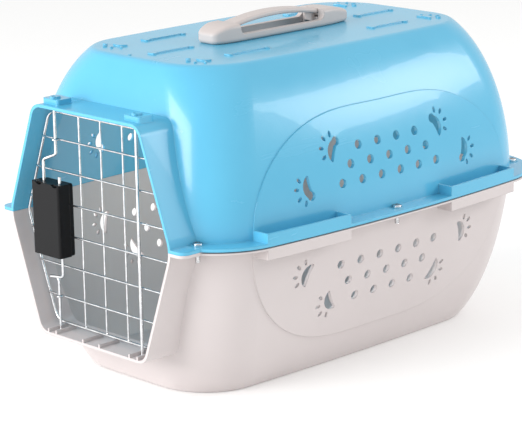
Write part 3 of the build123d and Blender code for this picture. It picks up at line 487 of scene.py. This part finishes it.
warm_grey = moulded_plastic(
    "warm grey handle plastic", (0.56, 0.50, 0.48), (0.59, 0.53, 0.51), (0.40, 0.46), 0.00012, 0.0012
)
paint("handle_base", warm_grey)
paint("handle_grip", warm_grey)
paint("handle_screws", bright_zinc)


# ---------------------------------------------------------------- wire door
# Cold-drawn steel wire, cut, bent and resistance-welded, then bright zinc plated: a
# six-sided frame, crossbars over it, short uprights in its plane and a thicker hinge rod.

door_wire = plated_steel("plated door wire", (0.66, 0.67, 0.69), (0.90, 0.91, 0.92), (0.14, 0.26), 120.0)
wire_names = ["door_frame_wire", "hinge_rod", "rod_guide_upper", "rod_guide_lower"]
wire_names += [f"crossbar_{i}" for i in range(1, 7)] + [f"upright_{i}" for i in range(1, 4)]
for wire_name in wire_names:
    paint(wire_name, door_wire)


# ---------------------------------------------------------------- weld nuggets
# Where two wires cross they are sunk into each other by the weld, and a little metal is
# squeezed out round the joint in a low smooth collar.

NUGGET_RADIUS = 0.0011
BAR_END_INSET = 0.0006      # from a crossbar's end to the frame wire it meets
UPRIGHT_END_INSET = 0.0005


def nugget_recipe():
    """A flattened bead at every crossing, each a little different."""
    recipe = NodeRecipe("weld nugget", [("Radius", "NodeSocketFloat"), ("Material", "NodeSocketMaterial")])
    bead = recipe.add("GeometryNodeMeshIcoSphere", [("Radius", recipe.start.outputs["Radius"])],
                      [("Subdivisions", 3)])
    size = recipe.add("FunctionNodeRandomValue", settings=[("data_type", "FLOAT_VECTOR")])
    size.inputs[0].default_value = (0.95, 0.75, 0.85)
    size.inputs[1].default_value = (1.3, 0.95, 1.15)
    size.inputs["Seed"].default_value = 11
    placed = recipe.add("GeometryNodeInstanceOnPoints", [
        ("Points", recipe.start.outputs["Geometry"]), ("Instance", bead.outputs["Mesh"]),
        ("Scale", size.outputs[0]),
    ])
    recipe.finish(placed.outputs["Instances"])
    return recipe


frame_low, frame_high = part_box("door_frame_wire")
frame_y = (frame_low.y + frame_high.y) / 2
crossings = []
for number in range(1, 7):
    bar_low, bar_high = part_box(f"crossbar_{number}")
    bar_y, bar_z = (bar_low.y + bar_high.y) / 2, (bar_low.z + bar_high.z) / 2
    weld_y = (bar_y + frame_y) / 2
    crossings += [Vector((x, weld_y, bar_z)) for x in (bar_low.x + BAR_END_INSET, bar_high.x - BAR_END_INSET)]
    crossings += [Vector((middle(f"upright_{i}").x, weld_y, bar_z)) for i in range(1, 4)]
    crossings.append(Vector((middle("hinge_rod").x, (bar_y + middle("hinge_rod").y) / 2, bar_z)))
for i in range(1, 4):
    upright_low, upright_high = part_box(f"upright_{i}")
    for height in (upright_low.z + UPRIGHT_END_INSET, upright_high.z - UPRIGHT_END_INSET):
        crossings.append(Vector((middle(f"upright_{i}").x, frame_y, height)))
welds = nugget_recipe().make("weld_nuggets", crossings, {"Radius": NUGGET_RADIUS, "Material": door_wire})
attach(welds, "door")


# ---------------------------------------------------------------- latch housing
# A satin black box moulded in one piece, with arched finger cuts at its top, clamped over
# two crossbars by a backplate and two small screws.

satin_black = moulded_plastic(
    "satin black latch plastic", (0.004, 0.004, 0.005), (0.007, 0.007, 0.008), (0.38, 0.44), 0.00012, 0.0008
)
satin_black.node_tree.nodes["Principled BSDF"].inputs["Specular IOR Level"].default_value = 0.22
paint("latch_housing", satin_black)
paint("latch_backplate", satin_black)
paint("latch_plate_screws", bright_zinc)


# ---------------------------------------------------------------- latch rods and springs
# Two bent rods of plated wire that slide in the housing, each pushed outwards by a coil
# spring of bare drawn steel against a pressed-on collar.

for rod_name in ("latch_rod_upper", "latch_rod_lower", "rod_stop_upper", "rod_stop_lower"):
    paint(rod_name, door_wire)
spring_steel = plated_steel("drawn spring steel", (0.36, 0.36, 0.37), (0.55, 0.55, 0.56), (0.30, 0.42), 500.0)
for spring_name in ("latch_spring_upper", "latch_spring_lower"):
    paint(spring_name, spring_steel)


# ---------------------------------------------------------------- floor and light
# A plain white studio floor under soft, even light: a bright surround, a large soft
# source before the door, a smaller one behind the right side, and a faint lamp in the cabin.

def build_floor():
    """A large sheet of matt white paper that glows a little, so it stays white to its edges."""
    mesh = bpy.data.meshes.new("floor")
    reach = 12.0
    corners = [(-reach, -reach, 0.0), (reach, -reach, 0.0), (reach, reach, 0.0), (-reach, reach, 0.0)]
    mesh.from_pydata(corners, [], [(0, 1, 2, 3)])
    floor = bpy.data.objects.new("floor", mesh)
    scene.collection.objects.link(floor)
    paper = bpy.data.materials.new("studio paper")
    paper.use_nodes = True
    surface = paper.node_tree.nodes["Principled BSDF"]
    surface.inputs["Base Color"].default_value = (0.86, 0.86, 0.855, 1.0)
    surface.inputs["Roughness"].default_value = 0.9
    surface.inputs["Specular IOR Level"].default_value = 0.1
    surface.inputs["Emission Color"].default_value = (1.0, 0.99, 0.98, 1.0)
    surface.inputs["Emission Strength"].default_value = 0.15
    mesh.materials.append(paper)
    return floor


build_floor()


def soft_light(name, place, target, size, power):
    """A rectangular soft box that faces a target."""
    lamp = bpy.data.lights.new(name, "AREA")
    lamp.shape = "RECTANGLE"
    lamp.size, lamp.size_y = size
    lamp.energy = power
    holder = bpy.data.objects.new(name, lamp)
    holder.location = place
    holder.rotation_euler = (Vector(target) - Vector(place)).to_track_quat("-Z", "Y").to_euler()
    scene.collection.objects.link(holder)


soft_light("front soft box", (-0.6, -2.2, 0.9), (0.0, 0.0, 0.15), (1.6, 1.2), 48.0)
soft_light("side soft box", (1.3, 1.5, 1.0), (0.1, 0.15, 0.15), (0.9, 0.7), 13.0)

cabin_lamp = bpy.data.lights.new("cabin lamp", "POINT")
cabin_lamp.energy = 0.42
cabin_lamp.shadow_soft_size = 0.09
cabin_lamp.color = (1.0, 0.94, 0.80)
cabin_light = bpy.data.objects.new("cabin lamp", cabin_lamp)
cabin_light.location = (-0.01, -0.02, 0.17)
scene.collection.objects.link(cabin_light)

studio = bpy.data.worlds.new("studio")
studio.use_nodes = True
studio.node_tree.nodes["Background"].inputs["Color"].default_value = (1.0, 1.0, 1.0, 1.0)
studio.node_tree.nodes["Background"].inputs["Strength"].default_value = 0.84
scene.world = studio
scene.view_settings.view_transform = "Standard"


# ---------------------------------------------------------------- camera
# A long lens three quarters round to the front right, a little above the roof.

CAMERA_PLACE = Vector((1.4830, -1.4697, 0.6662))
TURN = math.radians(45.67)
DIP = math.radians(14.76)
ROLL = math.radians(-0.90)

lens = bpy.data.cameras.new("camera")
lens.lens = 151.72
lens.sensor_width = 36.0
camera = bpy.data.objects.new("camera", lens)
look = (
    Matrix.Rotation(TURN, 4, "Z")
    @ Matrix.Rotation(math.pi / 2 - DIP, 4, "X")
    @ Matrix.Rotation(ROLL, 4, "Z")
)
camera.matrix_world = Matrix.Translation(CAMERA_PLACE) @ look
scene.collection.objects.link(camera)
scene.camera = camera
